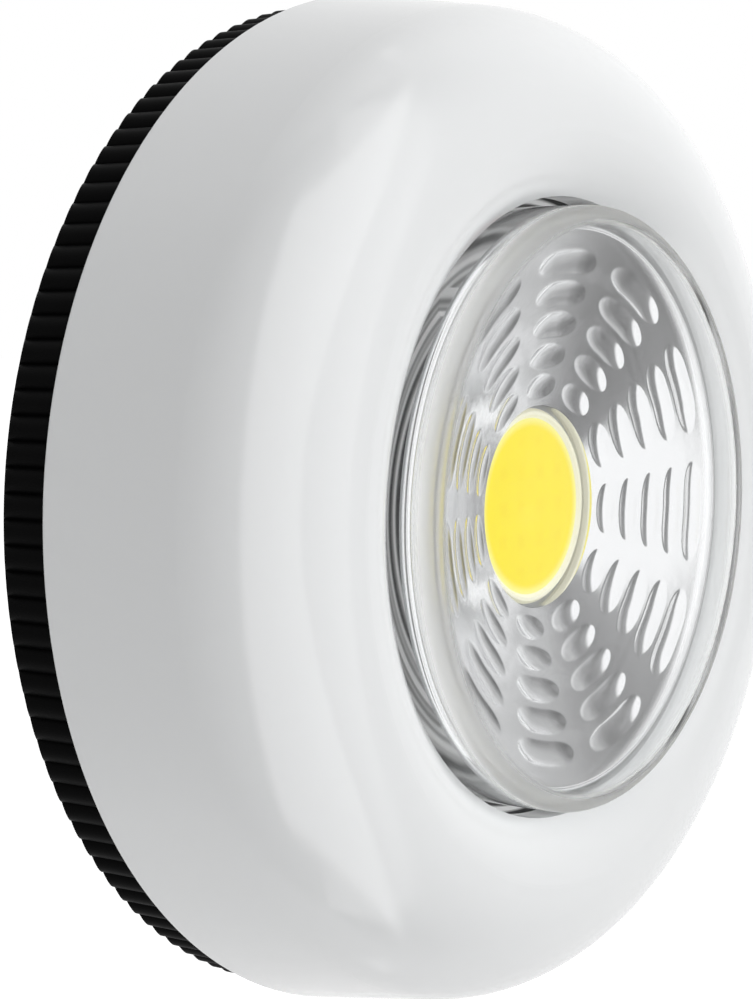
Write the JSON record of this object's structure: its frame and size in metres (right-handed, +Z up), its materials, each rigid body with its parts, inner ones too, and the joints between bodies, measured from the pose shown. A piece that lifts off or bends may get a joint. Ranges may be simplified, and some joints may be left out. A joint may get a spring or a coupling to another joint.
{
  "type": "stick-on light",
  "caption": "Round stick-on push light with a clear press lens, a webbed chrome reflector and a ribbed twist-off base with a foam pad.",
  "frame": {"origin": "centre of the foam pad's sticky face, on the wall", "axes": "-Y along the light's axis, out of the wall towards the viewer; +Z up; +X to the right of someone facing the light"},
  "size_m": [0.07, 0.0226, 0.07],
  "materials": {
    "pad_foam": "closed-cell foam tape, matte",
    "base_black": "fine moulded black, satin",
    "housing_white": "polished white",
    "inner_white": "moulded, satin",
    "lens_clear": "clear polystyrene, polished",
    "reflector_chrome": "vacuum-metallised",
    "board_aluminium": "milled edge",
    "dam_white": "white silicone",
    "phosphor_yellow": "yellow phosphor gel",
    "switch_black": "moulded",
    "plunger_white": "moulded",
    "board_green": "solder mask",
    "tinned_steel": "nickel-plated",
    "spring_steel": "drawn wire",
    "screw_steel": "zinc-plated",
    "cell_jacket": "plain printed jacket",
    "resistor_body": "painted ceramic",
    "lead_red": "soft insulation",
    "lead_black": "soft insulation"
  },
  "bodies": {
    "base": {"adhesive_pad": "pad_foam", "base_cover": "base_black"},
    "housing": {"housing_shell": "housing_white", "battery_tray": "inner_white", "battery_top": "cell_jacket", "battery_middle": "cell_jacket", "battery_bottom": "cell_jacket", "positive_plate": "tinned_steel", "negative_plate": "tinned_steel", "link_plates": "tinned_steel", "contact_springs": "spring_steel", "return_springs": "spring_steel", "switch_body": "switch_black", "switch_board": "board_green", "switch_pins": "tinned_steel", "resistor": "resistor_body", "tray_screws": "screw_steel", "board_screw": "screw_steel", "lead_red": "lead_red", "lead_battery": "lead_black", "lead_lamp": "lead_black"},
    "push_module": {"push_lens": "lens_clear", "reflector": "reflector_chrome", "cob_board": "board_aluminium", "cob_dam": "dam_white", "cob_phosphor": "phosphor_yellow", "led_carrier": "inner_white"},
    "switch_plunger": {"switch_plunger": "plunger_white"}
  },
  "joints": [
    {"name": "twist_lock", "type": "hinge", "parent": "base", "child": "housing", "pos_m": [0, 0, 0], "axis": [0, -1, 0], "range_deg": [0, 22]},
    {"name": "lens_push", "type": "slide", "parent": "housing", "child": "push_module", "axis": [0, 1, 0], "range_m": [0, 0.0013], "stiffness_N_per_m": 900, "springref_m": -0.001, "deforming": ["return_springs", "lead_red", "lead_lamp"]},
    {"name": "plunger_slide", "type": "slide", "parent": "housing", "child": "switch_plunger", "axis": [0, 1, 0], "range_m": [0, 0.0013]}
  ],
  "couplings": [
    {"joint": "plunger_slide", "follows": "lens_push", "ratio": 1}
  ]
}
